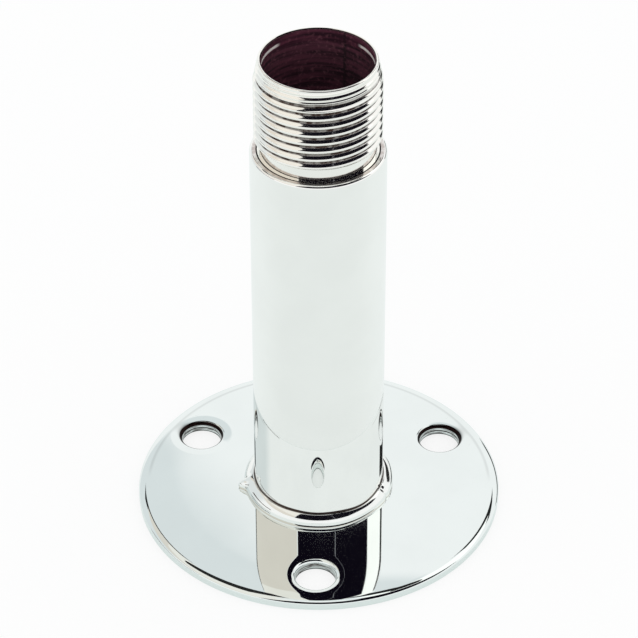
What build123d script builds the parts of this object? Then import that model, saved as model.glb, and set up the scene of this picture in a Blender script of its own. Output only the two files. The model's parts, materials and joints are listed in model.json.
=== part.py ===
"""Screw-top pedestal base in polished stainless steel, in millimetres.

A flat round flange carries an upright tube. The tube's foot sits in the flange's
socket and is held by a weld bead. A hollow machined nipple is pressed into the
tube's upper end, and its outside thread takes the pole or fitting above. The way
through the nipple and the tube is open from end to end, for a cable.

The origin is on the axis, on the flange's underside. +Z runs up the tube.
"""
import os
from math import radians, tan

from build123d import *

os.makedirs("parts", exist_ok=True)

# ---- Flange: a plate turned from sheet, polished over its rim and hole mouths
flange_diameter = 75.0
flange_thickness = 2.3
flange_rim_radius = 0.65
flange_foot_break = 0.2

# ---- Screw holes, set in from the flange's rim
screw_count = 3
screw_inset = 8.35
screw_hole = 8.2
screw_mouth_radius = 0.9
first_screw_angle = -90.0

# ---- Upright tube
tube_diameter = 26.7
tube_wall = 1.5
tube_top = 86.0
tube_rim_radius = 0.5
tube_mouth_break = 0.25
tube_foot_break = 0.3

# ---- Weld bead round the foot of the tube, out along the flange and up the tube
weld_width = 2.0
weld_height = 2.4

# ---- Threaded nipple: 25.4 mm (1 inch), 14 turns to the inch, 60 degree flanks.
# Polishing has taken the crests down a little, and the first turns taper to a lead.
thread_diameter = 25.4
thread_pitch = 25.4 / 14
thread_angle = 60.0
crest_polish = 0.2
thread_length = 17.0
lead_length = 4.0
lead_undercut = 0.22
relief_length = 3.3
relief_undercut = 0.27
neck_wall = 0.6
spigot_wall = 0.9
spigot_length = 14.0
bore_mouth_chamfer = 0.25
spigot_break = 0.15

# ---- Fits, as gaps on the radius
foot_fit = 0.05
spigot_fit = 0.02

# ---- Sizes that follow from the ones above. The bore leaves at least the stated wall
# both at the neck under the thread and in the spigot.
tube_radius = tube_diameter / 2
tube_bore_radius = tube_radius - tube_wall
socket_radius = tube_radius + foot_fit
spigot_radius = tube_bore_radius - spigot_fit
screw_circle = flange_diameter - 2 * screw_inset
flank_slope = tan(radians(thread_angle / 2))
thread_depth = 5 / 8 * thread_pitch / (2 * flank_slope)
crest_radius = thread_diameter / 2 - crest_polish
root_radius = thread_diameter / 2 - thread_depth
lead_radius = root_radius - lead_undercut
relief_radius = root_radius - relief_undercut
bore_radius = min(relief_radius - neck_wall, spigot_radius - spigot_wall)
relief_top = tube_top + relief_length
nipple_top = relief_top + thread_length
nipple_foot = tube_top - spigot_length


# ---- Flange
with BuildPart() as base_flange:
    with BuildSketch(Plane.XY):
        Circle(flange_diameter / 2)
        Circle(socket_radius, mode=Mode.SUBTRACT)
    extrude(amount=flange_thickness)
    top_rim = base_flange.faces().sort_by(Axis.Z)[-1].outer_wire().edges()
    fillet(top_rim, flange_rim_radius)
    foot_rim = base_flange.faces().sort_by(Axis.Z)[0].outer_wire().edges()
    chamfer(foot_rim, flange_foot_break)
    with PolarLocations(screw_circle / 2, screw_count, start_angle=first_screw_angle):
        Hole(screw_hole / 2)
    hole_mouths = (
        base_flange.edges()
        .filter_by(GeomType.CIRCLE)
        .filter_by(lambda edge: abs(edge.radius - screw_hole / 2) < 1e-6)
        .group_by(Axis.Z)[-1]
    )
    fillet(hole_mouths, screw_mouth_radius)
base_flange.part.label = "base_flange"
export_step(base_flange.part, "parts/base_flange.step")


# ---- Upright tube: its foot passes through the flange and ends flush below it
with BuildPart() as pedestal_tube:
    with BuildSketch(Plane.XY):
        Circle(tube_radius)
        Circle(tube_bore_radius, mode=Mode.SUBTRACT)
    extrude(amount=tube_top)
    end_rim = pedestal_tube.faces().sort_by(Axis.Z)[-1].outer_wire().edges()
    fillet(end_rim, tube_rim_radius)
    end_mouth = pedestal_tube.faces().sort_by(Axis.Z)[-1].inner_wires().edges()
    chamfer(end_mouth, tube_mouth_break)
    foot_mouth = pedestal_tube.faces().sort_by(Axis.Z)[0].inner_wires().edges()
    chamfer(foot_mouth, tube_foot_break)
pedestal_tube.part.label = "pedestal_tube"
export_step(pedestal_tube.part, "parts/pedestal_tube.step")


# ---- Weld bead: its face rises square from the flange and rounds over to the tube
with BuildPart() as base_weld:
    with BuildSketch(Plane.XZ):
        with BuildLine():
            weld_toe = (tube_radius + weld_width, flange_thickness)
            weld_top = (tube_radius, flange_thickness + weld_height)
            TangentArc(weld_toe, weld_top, tangent=(0, 1))
            Polyline(weld_top, (tube_radius, flange_thickness), weld_toe)
        make_face()
    revolve(axis=Axis.Z)
base_weld.part.label = "base_weld"
export_step(base_weld.part, "parts/base_weld.step")


# ---- Threaded nipple, turned from one bar
# The thread band is left plain at its full diameter. The relief below it and the lead
# above it both go under the thread's root, so that the thread can run out.
with BuildPart() as threaded_nipple:
    with BuildSketch(Plane.XZ):
        with BuildLine():
            Polyline(
                (bore_radius, nipple_foot),
                (spigot_radius - spigot_break, nipple_foot),
                (spigot_radius, nipple_foot + spigot_break),
                (spigot_radius, tube_top),
                (relief_radius, tube_top),
                (relief_radius, relief_top - (crest_radius - relief_radius) * flank_slope),
                (crest_radius, relief_top),
                (crest_radius, nipple_top - lead_length),
                (lead_radius, nipple_top),
                (bore_radius, nipple_top),
                close=True,
            )
        make_face()
    revolve(axis=Axis.Z)
    top_mouth = threaded_nipple.faces().sort_by(Axis.Z)[-1].inner_wires().edges()
    chamfer(top_mouth, bore_mouth_chamfer)
threaded_nipple.part.label = "threaded_nipple"
export_step(threaded_nipple.part, "parts/threaded_nipple.step")
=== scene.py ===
"""Dresses the screw-top pedestal base: four polished stainless pieces on a white floor.

Lengths are in metres, in the frame of the solids: the origin is on the axis at the
flange's underside, and +Z runs up the tube. Angles round the axis start at the front,
which is -Y, and grow towards +X.
"""
import json
from math import asin, atan, cos, hypot, pi, radians, sin, tan

import bpy
import numpy as np
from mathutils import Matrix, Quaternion, Vector
from mathutils.geometry import delaunay_2d_cdt


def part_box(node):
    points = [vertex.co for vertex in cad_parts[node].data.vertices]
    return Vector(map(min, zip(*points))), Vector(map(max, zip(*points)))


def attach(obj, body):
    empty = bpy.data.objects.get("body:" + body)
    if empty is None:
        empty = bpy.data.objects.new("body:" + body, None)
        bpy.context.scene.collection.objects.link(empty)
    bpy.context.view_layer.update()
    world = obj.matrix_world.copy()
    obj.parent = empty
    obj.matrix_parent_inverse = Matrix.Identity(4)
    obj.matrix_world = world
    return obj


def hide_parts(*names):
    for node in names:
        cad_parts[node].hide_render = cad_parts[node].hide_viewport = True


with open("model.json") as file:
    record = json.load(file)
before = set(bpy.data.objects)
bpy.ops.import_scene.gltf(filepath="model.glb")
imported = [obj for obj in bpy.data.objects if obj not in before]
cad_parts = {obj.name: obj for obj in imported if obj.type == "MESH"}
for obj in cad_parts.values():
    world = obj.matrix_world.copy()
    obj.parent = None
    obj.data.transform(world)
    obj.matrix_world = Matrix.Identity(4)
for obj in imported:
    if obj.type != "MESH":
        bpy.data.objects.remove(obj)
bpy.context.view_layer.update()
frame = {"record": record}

MM = 0.001

# ---- Sizes read from the solids and their mounts
flange_low, flange_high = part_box("base_flange")
_, tube_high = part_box("pedestal_tube")
nipple_low, nipple_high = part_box("threaded_nipple")
flange_foot = flange_low.z
flange_radius = flange_high.x
flange_top = flange_high.z
tube_radius = tube_high.x
tube_top = tube_high.z
crest_radius = nipple_high.x
nipple_top = nipple_high.z
nipple_foot = nipple_low.z
mounts = {mount["name"]: mount for mount in frame["record"]["mounts"]}
screw_holes = mounts["screw_holes"]["dims"]
screw_count = screw_holes["count"]
screw_circle_radius = screw_holes["pcd_mm"] * MM / 2
screw_hole_radius = screw_holes["hole_r_mm"] * MM
bore_radius = mounts["cable_bore"]["dims"]["r_mm"] * MM

# ---- Finish of the flange: its brow and rim, and the hollows polished in round the holes
brow_start = 27 * MM
brow_fall = 0.2 * MM
rim_width = 1.5 * MM
rim_height = 0.65 * MM
foot_break = 0.2 * MM
mouth_radius = 0.9 * MM
hollow_slope = radians(6)
hollow_radius = 6.7 * MM
socket_radius = tube_radius + 0.05 * MM
rim_start = flange_radius - rim_width

# ---- Weld bead: the arcs of its section, from the toe over the face to the crown,
# each as its radius and the angles where it starts and ends
bead_arcs = [
    (1.66 * MM, radians(-16), radians(50)),
    (5.90 * MM, radians(50), radians(61)),
    (0.85 * MM, radians(61), radians(108)),
]
lump_angle, lump_width = radians(278.5), radians(3.5)
lump_height = 1.4 * MM
notch_angle, notch_width = radians(70), radians(2.5)
slack_angle, slack_width = radians(45), radians(17)
toe_groove_angle, toe_groove_width = radians(12), radians(3)
toe_groove_depth = 0.05 * MM

# ---- Tube ends
tube_wall = 1.5 * MM
tube_bore_radius = tube_radius - tube_wall
tube_rim_radius = 0.7 * MM
tube_mouth_break = 0.25 * MM
tube_foot_break = 0.3 * MM

# ---- Thread of the nipple: 14 turns to the inch, buffed until its crests are round.
# Its groove is at groove_height where the angle round the axis is groove_angle.
pitch = 25.4 * MM / 14
thread_depth = 0.62 * MM
groove_height = 103.17 * MM
groove_angle = radians(-15)
edge_round = 0.12 * MM
thread_row = 0.035 * MM

# ---- Relief under the thread; the first row of points is flank_row below its flank
relief_radius = crest_radius - 1.052 * MM
relief_top = 89.3 * MM
relief_flank = radians(60)
flank_foot = relief_top - (crest_radius - relief_radius) / tan(relief_flank)
flank_row = 0.03 * MM

# ---- Tapered lead over the thread, with the fine marks of the cutter between its grooves;
# the grooves follow its taper by lead_share
lead_length = 4.0 * MM
lead_fall = 1.002 * MM
lead_lean = atan(lead_fall / lead_length)
lead_share = 0.6
lead_fade = 0.5 * MM
cutting_mark = 0.22 * MM
cutting_mark_width = 0.24 * MM

# ---- Nipple's end, bore and spigot
end_round = 0.35 * MM
thread_top = nipple_top - end_round * (1 - sin(lead_lean))
bore_mouth_break = 0.25 * MM
bore_mouth_radius = bore_radius + bore_mouth_break
# Where the painted dark reflection line runs down the bore
reflection_line_x = 4.9 * MM
spigot_radius = tube_bore_radius - 0.02 * MM

# ---- Steps round the axis, for large and for small circles
FINE = 216
COARSE = 144


# ---- Turned profiles: the metal lies on the left of the way along the profile
def straight(start, end, parts=1):
    """A straight stretch as points with their outward normals."""
    run = (end[0] - start[0], end[1] - start[1])
    size = hypot(*run)
    normal = (run[1] / size, -run[0] / size)
    shares = [i / parts for i in range(parts + 1)]
    return [((start[0] + run[0] * t, start[1] + run[1] * t), normal) for t in shares]


def rounded(centre, radius, start, end, parts):
    """An arc round a centre; run clockwise it is hollow and faces its centre."""
    side = 1 if end > start else -1
    stretch = []
    for i in range(parts + 1):
        angle = start + (end - start) * i / parts
        way = (cos(angle), sin(angle))
        place = (centre[0] + radius * way[0], centre[1] + radius * way[1])
        stretch.append((place, (side * way[0], side * way[1])))
    return stretch


def quarter_oval(centre, width, height, parts):
    """A quarter of an ellipse, from its outermost point up to its top."""
    stretch = []
    for i in range(parts + 1):
        angle = i * pi / 2 / parts
        place = (centre[0] + width * cos(angle), centre[1] + height * sin(angle))
        steep = hypot(cos(angle) / width, sin(angle) / height)
        stretch.append((place, (cos(angle) / width / steep, sin(angle) / height / steep)))
    return stretch


class Metalwork:
    """Gathers faces, each with a normal at every corner, into one closed mesh."""

    def __init__(self):
        self.places, self.numbers = [], {}
        self.faces, self.normals = [], []

    def number(self, place):
        key = tuple(round(c / (1e-4 * MM)) for c in place)
        if key not in self.numbers:
            self.numbers[key] = len(self.places)
            self.places.append(tuple(place))
        return self.numbers[key]

    def face(self, corners, normals):
        self.faces.append(corners)
        self.normals.extend(normals)

    def rings(self, places, normals):
        """Quads between closed rings of places, given as rows of points."""
        numbers = [[self.number(p) for p in row] for row in places.tolist()]
        normals = normals.tolist()
        a, b, c = (Vector(p) for p in (places[0][0], places[0][1], places[1][0]))
        outward = (b - a).cross(c - a).dot(Vector(normals[0][0])) > 0
        for i in range(len(numbers) - 1):
            for j in range(len(numbers[0])):
                k = (j + 1) % len(numbers[0])
                corners = [(i, j), (i, k), (i + 1, k), (i + 1, j)]
                if not outward:
                    corners.reverse()
                self.face([numbers[r][s] for r, s in corners],
                          [normals[r][s] for r, s in corners])

    def turn(self, profile, steps=COARSE, centre=(0, 0)):
        """Turns each stretch of a profile about an upright axis."""
        angles = np.arange(steps) * 2 * pi / steps
        round_x, round_y = np.sin(angles), -np.cos(angles)
        for stretch in profile:
            points = np.array([[*place, *normal] for place, normal in stretch])
            r, z, out, up = (points[:, i, None] for i in range(4))
            level = np.ones(steps)
            places = np.stack([centre[0] + r * round_x, centre[1] + r * round_y, z * level], -1)
            self.rings(places, np.stack([out * round_x, out * round_y, up * level], -1))

    def plate(self, outer, inner, height, facing, rings=()):
        """Fills the flat space in a circle but outside the inner ones.

        A circle is its centre, its radius and its steps. Rings adds points at those
        radii, for a plate that is bowed afterwards.
        """
        points, edges = [], []
        for circle in [outer, *inner]:
            start, steps = len(points), circle[2]
            points += round_points(*circle)
            edges += [(start + i, start + (i + 1) % steps) for i in range(steps)]
        for radius in rings:
            points += [p for p in round_points((0, 0), radius, FINE) if clear_of(p, inner)]
        corners, _, triangles, sources, _, _ = delaunay_2d_cdt(
            [Vector(p) for p in points], edges, [], 0, 1e-8)
        for triangle in triangles:
            a, b, c = (Vector(points[sources[i][0]]) for i in triangle)
            middle = (a + b + c) / 3
            if not clear_of(middle, inner):
                continue
            numbers = [self.number((*points[sources[i][0]], height)) for i in triangle]
            if (b - a).cross(c - a) * facing < 0:
                numbers.reverse()
            self.face(numbers, [(0, 0, facing)] * 3)

    def bow(self, top):
        """Lets the upper side fall away over the brow, down to nothing at the underside."""
        places = np.array(self.places)
        normals = np.array(self.normals)
        radius = np.hypot(places[:, 0], places[:, 1])
        reach = np.clip((radius - brow_start) / (rim_start - brow_start), 0, None)
        share = places[:, 2] / top
        squeeze = 1 - brow_fall * reach ** 3 / top
        slope = 3 * brow_fall / (rim_start - brow_start) * reach ** 2 * share / squeeze
        corners = np.concatenate(self.faces)
        outward = places[corners, :2] * (slope / radius)[corners, None]
        normals[:, :2] += outward * normals[:, 2:]
        normals[:, 2] /= squeeze[corners]
        normals /= np.linalg.norm(normals, axis=-1, keepdims=True)
        places[:, 2] *= squeeze
        self.places, self.normals = places.tolist(), normals.tolist()

    def finish(self, name, node, material):
        """Makes the piece, which takes the place of its solid."""
        mesh = bpy.data.meshes.new(name)
        mesh.from_pydata(self.places, [], self.faces)
        mesh.shade_smooth()
        mesh.normals_split_custom_set(self.normals)
        mesh.materials.append(material)
        piece = bpy.data.objects.new(name, mesh)
        bpy.context.scene.collection.objects.link(piece)
        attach(piece, "root")
        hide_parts(node)


def bump(value, middle, width):
    """A soft swell, 1 at its middle."""
    return np.exp(-(((value - middle) / width) ** 2))


def ring_normals(places, outward):
    """Normals of closed rings of places, from the neighbours of each."""
    along = np.roll(places, -1, axis=1) - np.roll(places, 1, axis=1)
    across = np.gradient(places, axis=0)
    normals = np.cross(along, across)
    normals /= np.linalg.norm(normals, axis=-1, keepdims=True)
    return normals if (normals[0][0] @ outward) > 0 else -normals


def round_points(centre, radius, steps):
    angles = [i * 2 * pi / steps for i in range(steps)]
    return [(centre[0] + radius * sin(a), centre[1] - radius * cos(a)) for a in angles]


def clear_of(point, circles):
    """Whether a point lies outside every circle."""
    gaps = [hypot(point[0] - c[0][0], point[1] - c[0][1]) - c[1] for c in circles]
    return min(gaps) > 0.01 * MM


# ---- Shaders
class Value:
    """A shader socket that joins in sums: each operator adds its Math node."""

    def __init__(self, shader, socket):
        self.shader, self.socket = shader, socket

    def maths(self, operation, *values):
        inputs = dict(enumerate(values))
        return self.shader.value("ShaderNodeMath", {"operation": operation}, inputs)

    def __add__(self, other):
        return self.maths("ADD", self, other)

    def __sub__(self, other):
        return self.maths("SUBTRACT", self, other)

    def __rsub__(self, other):
        return self.maths("SUBTRACT", other, self)

    def __mul__(self, other):
        return self.maths("MULTIPLY", self, other)

    def __pow__(self, other):
        return self.maths("POWER", self, other)

    def __abs__(self):
        return self.maths("ABSOLUTE", self)

    __radd__ = __add__
    __rmul__ = __mul__

    def ramp(self, low, high):
        """0 up to low and 1 from high on."""
        settings = {"interpolation_type": "SMOOTHSTEP"}
        inputs = {"Value": self, "From Min": low, "From Max": high}
        return self.shader.value("ShaderNodeMapRange", settings, inputs)

    def band(self, start, end, rise, fall):
        """1 between start and end, which it nears over a rise before and a fall after."""
        return self.ramp(start - rise, start) * (1 - self.ramp(end, end + fall))


class Shader:
    """A node tree with one method that adds nodes."""

    def __init__(self, tree):
        self.tree = tree
        tree.nodes.clear()

    def node(self, kind, settings=None, inputs=None):
        made = self.tree.nodes.new(kind)
        for key, setting in (settings or {}).items():
            setattr(made, key, setting)
        for key, given in (inputs or {}).items():
            given = given.socket if isinstance(given, Value) else given
            if isinstance(given, bpy.types.NodeSocket):
                self.tree.links.new(given, made.inputs[key])
            else:
                made.inputs[key].default_value = given
        return made

    def value(self, kind, settings=None, inputs=None):
        return Value(self, self.node(kind, settings, inputs).outputs[0])

    def blend(self, share, first, second):
        """A colour that goes from the first to the second."""
        mix = self.node("ShaderNodeMix", {"data_type": "RGBA"}, {0: share, 6: first, 7: second})
        return mix.outputs[2]

    def noise(self, place, scale, detail=2.0):
        inputs = {"Vector": place, "Scale": scale, "Detail": detail}
        return self.value("ShaderNodeTexNoise", None, inputs)


# ---- Stains on the steel, and painted shade, reflections and highlights
# Dark tone of the painted reflection arcs and painted shade lines in the screw holes
hole_shade_and_reflection = (0.012, 0.006, 0.006, 1)
# Painted shade in the crevice where the tube meets the nipple
tube_joint_shade = (0.012, 0.007, 0.006, 1)
# Painted shade along the lip of the nipple's bore
bore_lip_shade = (0.012, 0.005, 0.007, 1)
tool_brown = (0.040, 0.020, 0.016, 1)
# Brown residue and painted shade in the thread's roots
thread_residue_and_shade = (0.045, 0.022, 0.017, 1)
# Dark brown of the weld's joint line, also used for the painted reflection that widens it in front
joint_brown_and_reflection = (0.04, 0.025, 0.02, 1)
residue_tan = (0.34, 0.25, 0.22, 1)
straw = (0.50, 0.40, 0.30, 1)
# Near black of the painted dark reflection line down the bore
bore_reflection_dark = (0.020, 0.006, 0.012, 1)
burgundy_dark = (0.028, 0.006, 0.015, 1)
burgundy_light = (0.120, 0.030, 0.055, 1)
burgundy_grain = (0.26, 0.10, 0.13, 1)
# Near white of the painted highlight strips in the bore
glint_white = (0.95, 0.90, 0.87, 1)


def steel(name, tone, roughness, dress):
    """Polished stainless steel; dress adds what is particular to a piece.

    It gets the place as x, y, z and the distance from the axis, and gives back the
    colour, the roughness and how metallic the surface is.
    """
    material = bpy.data.materials.new(name)
    material.use_nodes = True
    shader = Shader(material.node_tree)
    coords = shader.node("ShaderNodeTexCoord").outputs["Object"]
    split = shader.node("ShaderNodeSeparateXYZ", None, {"Vector": coords})
    x, y, z = (Value(shader, split.outputs[i]) for i in range(3))
    radius = (x * x + y * y) ** 0.5
    cloud = shader.noise(coords, 90.0, 3.0)
    buffing = shader.noise(coords, 2500.0)
    darker = tuple(c * 0.98 for c in tone)
    colour = shader.blend(cloud.ramp(0.35, 0.65), (*darker, 1), (*tone, 1))
    rough = roughness * (0.6 + 3.2 * cloud * buffing)
    colour, rough, metallic = dress(shader, coords, (x, y, z, radius), colour, rough)
    surface = shader.node("ShaderNodeBsdfPrincipled", None, {
        "Base Color": colour, "Metallic": metallic, "Roughness": rough})
    shader.node("ShaderNodeOutputMaterial", None, {"Surface": surface.outputs[0]})
    return material


def turned_streaks(shader, coords, around, up):
    """Streaks that run round a turned wall: short across it and long along it."""
    scale = shader.node("ShaderNodeVectorMath", {"operation": "MULTIPLY"},
                        {0: coords, 1: (around, around, up)})
    return shader.noise(scale.outputs[0], 1.0, 4.0)


def dress_flange(shader, coords, place, colour, rough):
    """Brown tool marks on the walls of the screw holes, painted dark reflection arcs in the mouths of
    the back holes, and painted shade lines low on the walls.
    """
    _, y, z, radius = place
    back = y.ramp(0, 5 * MM)
    foremost = 1 - y.ramp(-screw_circle_radius - 1 * MM, -screw_circle_radius + 1 * MM)
    depth = flange_top - z
    in_hole = radius.band(socket_radius + 1 * MM, rim_start, 0.9 * MM, 0.5 * MM)
    walls = depth.ramp(0.7 * MM, 0.95 * MM) * in_hole * z.ramp(0.02 * MM, 0.1 * MM)
    streaks = turned_streaks(shader, coords, 500.0, 4000.0).ramp(0.42, 0.60)
    marks = walls * (1 - foremost) * (0.35 - 0.20 * back + 0.60 * streaks)
    colour = shader.blend(marks, colour, tool_brown)
    # Painted reflection: dark arcs in the mouths of the back holes. Painted shade: dark lines low on
    # the holes' walls
    around_mouth = radius.band(socket_radius + 4 * MM, rim_start - 1 * MM, 1 * MM, 1 * MM)
    mouth_arc = depth.band(0.22 * MM, 0.74 * MM, 0.08 * MM, 0.08 * MM)
    wall_line = depth.band(1.30 * MM, 1.45 * MM, 0.10 * MM, 0.10 * MM)
    foot_line = z.band(0.05 * MM, 0.16 * MM, 0.03 * MM, 0.10 * MM)
    lines = around_mouth * ((mouth_arc + wall_line) * back + foot_line)
    colour = shader.blend(lines, colour, hole_shade_and_reflection)
    return colour, rough + walls * 0.18, 1.0


def dress_tube(shader, coords, place, colour, rough):
    """Polishing residue on the tube's end, and painted shade in its joint with the nipple."""
    _, _, z, radius = place
    end = z.ramp(tube_top - 0.04 * MM, tube_top - 0.01 * MM)
    patches = 0.5 + 0.5 * turned_streaks(shader, coords, 700.0, 700.0).ramp(0.4, 0.6)
    # Painted shade at the tube's mouth, in the crevice round the nipple's spigot
    joint = z.ramp(tube_top - 0.6 * MM, tube_top - 0.5 * MM)
    joint = joint * (1 - radius.ramp(spigot_radius + 0.2 * MM, spigot_radius + 0.35 * MM))
    stain = end * patches
    colour = shader.blend(stain * 0.6, colour, residue_tan)
    colour = shader.blend(joint, colour, tube_joint_shade)
    return colour, rough + stain * 0.12 + joint * 0.3, 1 - 0.1 * stain


def bore_skin(shader, coords, place):
    """The unpolished bore: streaked and grainy, with a painted dark reflection line and painted
    highlight strips.
    """
    x, y, z, _ = place
    streaks = turned_streaks(shader, coords, 110.0, 1300.0).ramp(0.35, 0.65)
    skin = shader.blend(streaks, burgundy_dark, burgundy_light)
    # Painted reflection: a dark upright line on the back of the bore
    dark_line = (1 - abs(x - reflection_line_x).ramp(0.15 * MM, 0.45 * MM)) * y.ramp(0, 1 * MM)
    skin = shader.blend(dark_line * 0.8, skin, bore_reflection_dark)
    grain = shader.noise(coords, 1700.0, 3.0).ramp(0.52, 0.72)
    skin = shader.blend(grain * 0.45, skin, burgundy_grain)
    # Painted highlight: pale strips on the left and right of the bore, near its mouth
    painted_glint = (nipple_top - z).band(1.6 * MM, 2.0 * MM, 0.2 * MM, 0.2 * MM)
    painted_glint = painted_glint * abs(x).ramp(7.3 * MM, 8.3 * MM)
    return shader.blend(painted_glint * 0.9, skin, glint_white), painted_glint


def dress_nipple(shader, coords, place, colour, rough):
    """Brown residue and painted shade in the thread's roots, painted shade on the bore's lip, and a
    dark burgundy skin in the bore.
    """
    _, _, z, radius = place
    threaded = z.ramp(relief_top, relief_top + 0.3 * MM)
    threaded = threaded * (nipple_top - z).ramp(2.6 * MM, 3.2 * MM)
    patches = 0.75 + 0.25 * shader.noise(coords, 700.0).ramp(0.4, 0.6)
    # Brown residue and painted shade in the thread's roots, where the dark bands fall
    above_root = radius - (crest_radius - thread_depth)
    residue = (1 - above_root.ramp(0.02 * MM, 0.13 * MM)) * threaded * patches
    colour = shader.blend(residue, colour, thread_residue_and_shade)
    # Painted shade: a dark line on the bore's lip
    lip = 1 - radius.ramp(bore_mouth_radius - 0.08 * MM, bore_mouth_radius)
    colour = shader.blend(lip * z.ramp(relief_top, nipple_top), colour, bore_lip_shade)
    inside = 1 - radius.ramp(bore_radius + 0.02 * MM, bore_radius + 0.12 * MM)
    skin, painted_glint = bore_skin(shader, coords, place)
    colour = shader.blend(inside, colour, skin)
    # The painted highlight is not metallic, so its pale colour shows as it is
    return colour, rough + residue * 0.25 + inside * 0.35, 1 - inside * (0.85 + 0.15 * painted_glint)


def dress_weld(shader, coords, place, colour, rough):
    """Brown where the bead meets the tube, widened in front by a painted reflection, and a straw tint
    at its toe.
    """
    _, y, z, radius = place
    toe = 1 - z.ramp(flange_top + 0.1 * MM, flange_top + 0.35 * MM)
    colour = shader.blend(toe * 0.45, colour, straw)
    from_tube = radius - tube_radius
    dark_line = 1 - from_tube.ramp(0.15 * MM, 0.3 * MM)
    # Painted reflection: the dark joint line is widened in front only
    front = 1 - y.ramp(-0.95 * tube_radius, -0.6 * tube_radius)
    painted_front_reflection = front * (1 - from_tube.ramp(0.35 * MM, 0.5 * MM))
    colour = shader.blend((dark_line + painted_front_reflection) * 0.9, colour, joint_brown_and_reflection)
    return colour, rough, 1.0


flange_steel = steel("flange_mirror_steel", (0.84, 0.89, 0.88), 0.02, dress_flange)
tube_steel = steel("tube_mirror_steel", (0.94, 0.94, 0.92), 0.015, dress_tube)
weld_steel = steel("weld_polished_steel", (0.90, 0.92, 0.90), 0.05, dress_weld)
nipple_steel = steel("nipple_turned_steel", (0.95, 0.94, 0.90), 0.06, dress_nipple)


# ---- Flange
def make_flange():
    metal = Metalwork()
    edge_top = flange_top - rim_height
    metal.turn([
        straight((flange_radius - foot_break, 0), (flange_radius, foot_break)),
        straight((flange_radius, foot_break), (flange_radius, edge_top), 4),
        quarter_oval((rim_start, edge_top), rim_width, rim_height, 24),
    ], FINE)
    metal.turn([straight((socket_radius, flange_top), (socket_radius, 0))])

    mouth_end = screw_hole_radius + mouth_radius * (1 - sin(hollow_slope))
    bend_radius = (hollow_radius - mouth_end) / sin(hollow_slope)
    bend_centre = (hollow_radius, flange_top - bend_radius)
    mouth_start = pi / 2 + hollow_slope
    mouth_centre = (screw_hole_radius + mouth_radius,
                    bend_centre[1] + (bend_radius - mouth_radius) * sin(mouth_start))
    hole_profile = [
        rounded(bend_centre, bend_radius, pi / 2, mouth_start, 16),
        rounded(mouth_centre, mouth_radius, mouth_start, pi, 20),
        straight((screw_hole_radius, mouth_centre[1]), (screw_hole_radius, 0), 6),
    ]
    hollows, holes = [], []
    for i in range(screw_count):
        angle = i * 2 * pi / screw_count
        centre = (screw_circle_radius * sin(angle), -screw_circle_radius * cos(angle))
        metal.turn(hole_profile, COARSE, centre)
        hollows.append((centre, hollow_radius, COARSE))
        holes.append((centre, screw_hole_radius, COARSE))
    socket = ((0, 0), socket_radius, COARSE)
    brow_rings = np.linspace(brow_start, rim_start, 15)[:-1]
    metal.plate(((0, 0), rim_start, FINE), [*hollows, socket], flange_top, 1, brow_rings)
    metal.plate(((0, 0), flange_radius - foot_break, FINE), [*holes, socket], 0, -1)
    metal.bow(flange_top)
    metal.finish("flange", "base_flange", flange_steel)


# ---- Upright tube
def make_tube():
    metal = Metalwork()
    rim_centre = (tube_radius - tube_rim_radius, tube_top - tube_rim_radius)
    mouth_edge = (tube_bore_radius + tube_mouth_break, tube_top)
    bore_end = (tube_bore_radius, tube_top - tube_mouth_break)
    foot_edge = (tube_bore_radius + tube_foot_break, 0)
    bore_start = (tube_bore_radius, tube_foot_break)
    metal.turn([
        straight(foot_edge, (tube_radius, 0)),
        straight((tube_radius, 0), (tube_radius, rim_centre[1]), 24),
        rounded(rim_centre, tube_rim_radius, 0, pi / 2, 8),
        straight((rim_centre[0], tube_top), mouth_edge),
        straight(mouth_edge, bore_end),
        straight(bore_end, bore_start, 24),
        straight(bore_start, foot_edge),
    ], FINE)
    metal.finish("upright_tube", "pedestal_tube", tube_steel)


# ---- Weld bead: uneven as a hand-run bead is, with the lump where it was closed
def bead_section(parts=16):
    """How far the bead stands out from the tube and up from the flange, and its slope."""
    facing = [np.linspace(start, end, parts, endpoint=False) for _, start, end in bead_arcs]
    facing = np.append(facing, bead_arcs[-1][2])
    radii = np.repeat([radius for radius, _, _ in bead_arcs], parts)
    out = np.append(0, np.cumsum(radii * np.diff(np.cos(facing))))
    up = np.append(0, np.cumsum(radii * np.diff(np.sin(facing))))
    return (out - out[-1])[:, None], up[:, None], facing[:, None]


def make_weld():
    metal = Metalwork()
    steps = 2 * FINE
    angles = np.arange(steps) * 2 * pi / steps
    out, up, facing = bead_section()
    ripple = 0.5 + 0.25 * np.sin(5 * angles + 0.7) + 0.25 * np.sin(11 * angles + 2.1)
    notch = bump(angles, notch_angle, notch_width)
    slack = bump(angles, slack_angle, slack_width)
    fullness = 1.03 - 0.05 * ripple - 0.03 * np.cos(angles) - 0.1 * notch - 0.22 * slack
    spread = fullness * (0.96 - 0.15 * np.cos(angles))
    lump = lump_height * bump(angles, lump_angle, lump_width) * np.clip(np.cos(facing), 0, 1) ** 2
    toe_groove = toe_groove_depth * bump(facing, toe_groove_angle, toe_groove_width)
    r = tube_radius + out * spread + lump - toe_groove
    z = flange_top + up * fullness
    places = np.stack([r * np.sin(angles), -r * np.cos(angles), z], -1)
    metal.rings(places, ring_normals(places, np.array((0, -1, 0))))
    foot, top = places[0], places[-1]
    inner = np.stack([tube_radius * np.sin(angles), -tube_radius * np.cos(angles),
                      np.full(steps, flange_top)], -1)
    down = np.broadcast_to((0.0, 0.0, -1.0), inner.shape)
    metal.rings(np.stack([foot, inner]), np.stack([down, down]))
    inward = np.stack([-np.sin(angles), np.cos(angles), np.zeros(steps)], -1)
    metal.rings(np.stack([inner, top]), np.stack([inward, inward]))
    metal.finish("weld_bead", "base_weld", weld_steel)


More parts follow.
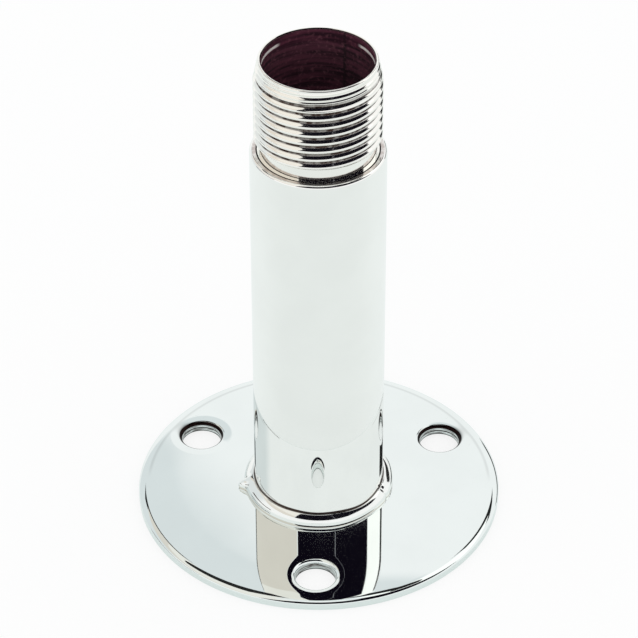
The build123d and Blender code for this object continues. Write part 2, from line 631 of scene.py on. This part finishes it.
# ---- Threaded nipple
def lower_of(first, second):
    """The lesser of two radii, with the edge between them rounded."""
    gap = np.clip(1 - np.abs(first - second) / edge_round, 0, None)
    return np.minimum(first, second) - edge_round * gap ** 2 / 4


def threaded_wall(heights, angles):
    """The radius of the nipple's outside: the relief, the turns and the tapered lead."""
    into_lead = heights - nipple_top + lead_length
    taper = tan(lead_lean) * np.clip(into_lead, 0, None)
    cone = crest_radius - taper
    helix = groove_height + pitch * (angles - groove_angle) / (2 * pi)
    groove = thread_depth * (1 + np.cos(2 * pi * (heights - helix) / pitch)) / 2
    cut = cone - lower_of(crest_radius - groove - lead_share * taper, cone)
    off_mark = (heights - helix) % pitch - pitch / 2
    mark = cutting_mark * bump(off_mark, 0, cutting_mark_width) * np.clip(into_lead / lead_fade, 0, 1)
    fade = np.clip((thread_top - heights) / lead_fade, 0, 1)
    relief = relief_radius + np.clip(heights - flank_foot, 0, None) * tan(relief_flank)
    return np.minimum(cone - (cut + mark) * fade, relief)


def make_nipple():
    metal = Metalwork()
    steps = 2 * COARSE
    angles = np.arange(steps) * 2 * pi / steps
    rows = np.arange(flank_foot - flank_row, thread_top, thread_row)
    heights = np.concatenate([[tube_top], rows, [thread_top]])[:, None]
    r = threaded_wall(heights, angles)
    places = np.stack([r * np.sin(angles), -r * np.cos(angles), heights + 0 * r], -1)
    metal.rings(places, ring_normals(places, np.array((0, -1, 0))))
    end_centre = (r[-1][0] - end_round * cos(lead_lean), nipple_top - end_round)
    mouth_edge = (bore_mouth_radius, nipple_top)
    bore_end = (bore_radius, nipple_top - bore_mouth_break)
    metal.turn([
        rounded(end_centre, end_round, lead_lean, pi / 2, 10),
        straight((end_centre[0], nipple_top), mouth_edge),
        straight(mouth_edge, bore_end),
        straight(bore_end, (bore_radius, nipple_foot), 24),
        straight((bore_radius, nipple_foot), (spigot_radius, nipple_foot)),
        straight((spigot_radius, nipple_foot), (spigot_radius, tube_top)),
        straight((spigot_radius, tube_top), (relief_radius, tube_top)),
    ], steps)
    metal.finish("nipple", "threaded_nipple", nipple_steel)


make_flange()
make_tube()
make_weld()
make_nipple()


# ---- Stage: white floor and sky, and the screens that the polished metal reflects
white = (1, 1, 1, 1)
floor_front = (0.785, 0.845, 0.83, 1)
floor_back = (0.85, 0.91, 0.90, 1)
floor_own_light = 0.75
floor_half = 3.0
floor_drop = 0.02 * MM
sky_blue = (0.79, 0.825, 0.835, 1)


def make_floor():
    """White to the camera, a little darker in reflections, and it keeps the soft shadow."""
    material = bpy.data.materials.new("floor_white")
    material.use_nodes = True
    shader = Shader(material.node_tree)
    path = shader.node("ShaderNodeLightPath").outputs
    in_metal = Value(shader, path["Is Glossy Ray"])
    seen = in_metal + Value(shader, path["Is Camera Ray"]) + Value(shader, path["Is Transmission Ray"])
    place = shader.node("ShaderNodeTexCoord").outputs["Object"]
    way = shader.node("ShaderNodeVectorMath", {"operation": "NORMALIZE"}, {0: place})
    split = shader.node("ShaderNodeSeparateXYZ", None, {"Vector": way.outputs[0]})
    behind = Value(shader, split.outputs["Y"]).ramp(-0.75, 0.45)
    tone = shader.blend(behind, floor_front, floor_back)
    tone = shader.blend(in_metal, white, tone)
    albedo = 1 - floor_own_light
    strength = floor_own_light * seen
    matt = shader.node("ShaderNodeBsdfDiffuse", None, {"Color": (albedo, albedo, albedo, 1)})
    glow = shader.node("ShaderNodeEmission", None, {"Color": tone, "Strength": strength})
    both = shader.node("ShaderNodeAddShader", None, {0: matt.outputs[0], 1: glow.outputs[0]})
    shader.node("ShaderNodeOutputMaterial", None, {"Surface": both.outputs[0]})
    sides = [(-1, -1), (1, -1), (1, 1), (-1, 1)]
    corners = [(x * floor_half, y * floor_half, flange_foot - floor_drop) for x, y in sides]
    floor = make_sheet("floor", material, corners, [(0, 1, 2, 3)])


def make_sky():
    """White, and a little darker and bluer high up behind the base on its left."""
    world = bpy.data.worlds.new("white_sky")
    bpy.context.scene.world = world
    world.use_nodes = True
    shader = Shader(world.node_tree)
    way = shader.node("ShaderNodeTexCoord").outputs["Generated"]
    split = shader.node("ShaderNodeSeparateXYZ", None, {"Vector": way})
    x, y, z = (Value(shader, split.outputs[i]) for i in range(3))
    corner = (z - 0.8 * x).ramp(0.674, 0.706) * y.ramp(0.0, 0.3)
    tone = shader.blend(corner, white, sky_blue)
    sky = shader.node("ShaderNodeBackground", None, {"Color": tone, "Strength": 1.0})
    shader.node("ShaderNodeOutputWorld", None, {"Surface": sky.outputs[0]})


def make_sheet(name, material, corners, faces):
    mesh = bpy.data.meshes.new(name)
    mesh.from_pydata(corners, [], faces)
    mesh.materials.append(material)
    sheet = bpy.data.objects.new(name, mesh)
    bpy.context.scene.collection.objects.link(sheet)
    return sheet


def screen_cloth(name, colour):
    """One plain tone that needs no light."""
    material = bpy.data.materials.new(name)
    material.use_nodes = True
    shader = Shader(material.node_tree)
    glow = shader.node("ShaderNodeEmission", None, {"Color": (*colour, 1)})
    shader.node("ShaderNodeOutputMaterial", None, {"Surface": glow.outputs[0]})
    return material


def make_screen(name, colour, sides, foot, top, reach, steps=60):
    """Part of a dome round the base, seen only in reflections.

    sides are its two angles round the axis in degrees. foot and top are its
    elevations in radians; foot may be a function of the angle round the axis.
    """
    points, faces = [], []
    rows = 24
    for i in range(steps + 1):
        angle = radians(sides[0] + (sides[1] - sides[0]) * i / steps)
        low = foot(angle) if callable(foot) else foot
        for j in range(rows + 1):
            up = low + (top - low) * j / rows
            level = reach * cos(up)
            points.append((level * sin(angle), -level * cos(angle), reach * sin(up)))
    for i in range(steps):
        for j in range(rows):
            k = i * (rows + 1) + j
            faces.append((k, k + rows + 1, k + rows + 2, k + 1))
    screen = make_sheet(name, screen_cloth(name + "_cloth", colour), points, faces)
    screen.visible_camera = False
    screen.visible_shadow = False
    screen.visible_diffuse = False


# ---- Screens: how far from the base they stand, how high they reach and their tones
room_reach = 0.40
pole_reach = 0.396
batten_reach = 0.38
edge_reach = 1.0
low_reach = 0.9
view_rise = radians(40.9)
beige_top = radians(49)
room_top = radians(79)
batten_low, batten_rise, batten_top = radians(54.5), radians(9), radians(72)
batten_turn = radians(25)
edge_foot, edge_top = radians(38.5), radians(50)
low_left_foot, low_left_top = radians(14), radians(21)
low_right_foot, low_right_top = radians(8), radians(19)
charcoal = (0.004, 0.003, 0.007)
ink = (0.02, 0.02, 0.02)
umber = (0.05, 0.03, 0.02)
pole_grey = (0.30, 0.30, 0.33)
beige = (0.79, 0.74, 0.67)
cream = (0.93, 0.90, 0.84)
panel_white = (1.2, 1.2, 1.17)


def room_foot(angle):
    """The lower edge lies on the sight line from the camera to the tube's foot."""
    near = tube_radius * cos(angle / 2)
    drop = flange_top * cos(view_rise) - near * sin(view_rise)
    return view_rise + asin(drop / room_reach)


def batten_foot(angle):
    """Higher on the right, where the flange's rim carries a thinner line."""
    from_right = min(max((pi - angle) / batten_turn, 0), 1)
    return batten_low + batten_rise * from_right


make_floor()
make_sky()

# The walls of the room, with thin gaps between them and open behind
make_screen("dark_screen", charcoal, (-36.4, 98.4), room_foot, room_top, room_reach)
make_screen("beige_screen", beige, (-154, -38), room_foot, beige_top, room_reach)
make_screen("cream_screen", cream, (-154, -38), beige_top, room_top, room_reach)
make_screen("grey_pole", pole_grey, (29.9, 30.9), room_foot, room_top, pole_reach, 4)
make_screen("bright_panel", panel_white, (100, 147), room_foot, room_top, room_reach)

# Far strips behind, which line the edges of the tube
make_screen("left_edge_strip", ink, (-163.5, -154), edge_foot, edge_top, edge_reach, 8)
make_screen("right_edge_strip", ink, (141, 163.5), edge_foot, edge_top, edge_reach, 8)

# A batten behind and two low strips, which line the flange's rim, the bead and the thread
make_screen("back_batten", ink, (104, 238), batten_foot, batten_top, batten_reach)
make_screen("low_left_strip", umber, (-112, -70), low_left_foot, low_left_top, low_reach)
make_screen("low_right_strip", ink, (130, 157), low_right_foot, low_right_top, low_reach)


# ---- Camera: in front of the base, a little to the right, and looking down at it
camera_sensor = 36
camera_lens = 176.8
camera_stand = Vector((0, -500.58 * MM, 424.81 * MM))
camera_side = radians(1.36)
camera_yaw = radians(0.011)
camera_dip = radians(37.216)
camera_roll = radians(-0.087)


def make_camera():
    data = bpy.data.cameras.new("camera")
    data.sensor_width = camera_sensor
    data.lens = camera_lens
    camera = bpy.data.objects.new("camera", data)
    bpy.context.scene.collection.objects.link(camera)
    bpy.context.scene.camera = camera
    turned = Quaternion((0, 0, 1), camera_side)
    camera.location = turned @ camera_stand
    level = cos(camera_dip)
    look = Vector((sin(camera_yaw) * level, cos(camera_yaw) * level, -sin(camera_dip)))
    aim = look.to_track_quat("-Z", "Y") @ Quaternion((0, 0, 1), camera_roll)
    camera.rotation_mode = "QUATERNION"
    camera.rotation_quaternion = turned @ aim


make_camera()
bpy.context.scene.view_settings.view_transform = "Standard"
